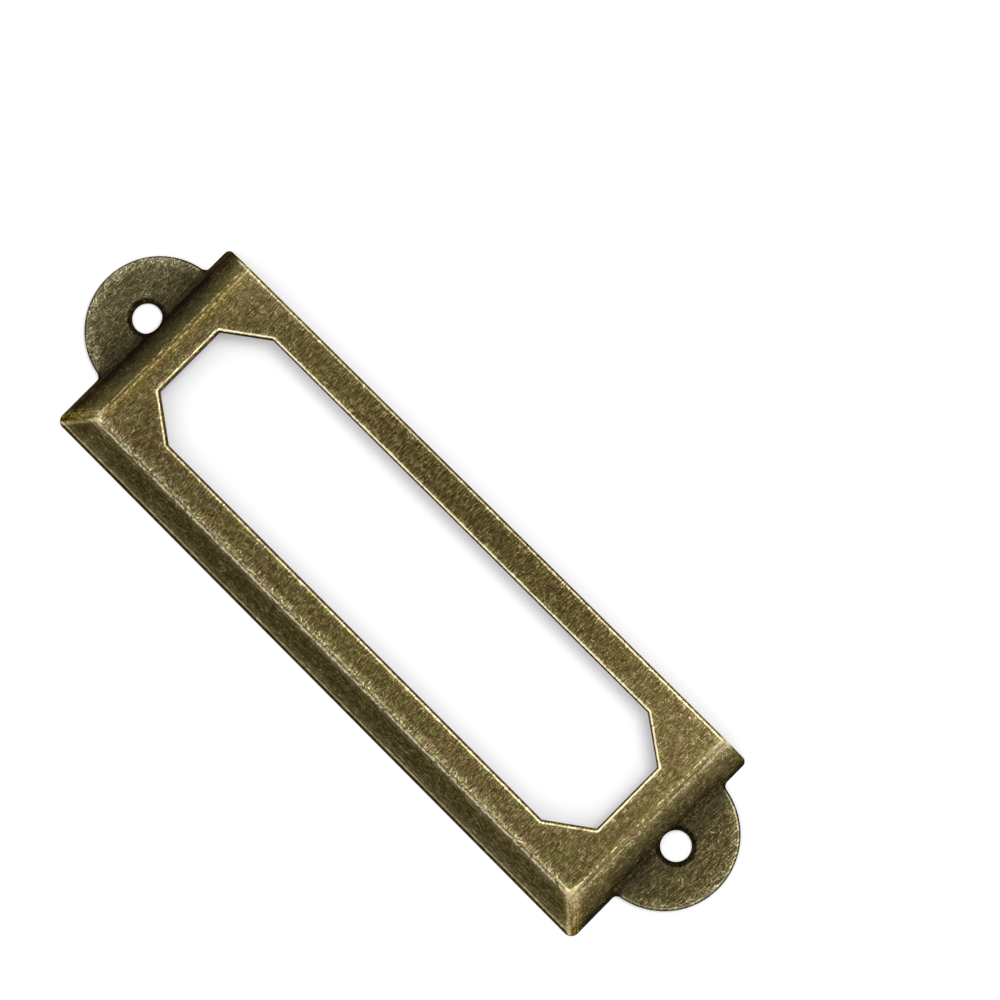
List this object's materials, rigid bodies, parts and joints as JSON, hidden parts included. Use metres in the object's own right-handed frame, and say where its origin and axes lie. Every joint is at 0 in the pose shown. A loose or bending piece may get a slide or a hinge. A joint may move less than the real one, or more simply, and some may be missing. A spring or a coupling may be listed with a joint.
{
  "type": "drawer label holder",
  "caption": "Stamped sheet-metal frame that holds a card label against a drawer front, with a cut-corner window, an open side for the card and a screw ear at each end.",
  "frame": {"origin": "midway between the two screw holes, in the plane of the drawer front", "axes": "+X along the holder from one screw ear to the other, +Y towards the open side where the card slides in, +Z away from the drawer front"},
  "size_m": [0.083, 0.0237, 0.003],
  "materials": {
    "antique_brass": "antique brass plating: dark olive-brown patina, brushed across the length and rubbed back to pale brass along edges and bends"
  },
  "bodies": {
    "root": {"label_frame": "antique_brass"}
  },
  "joints": []
}
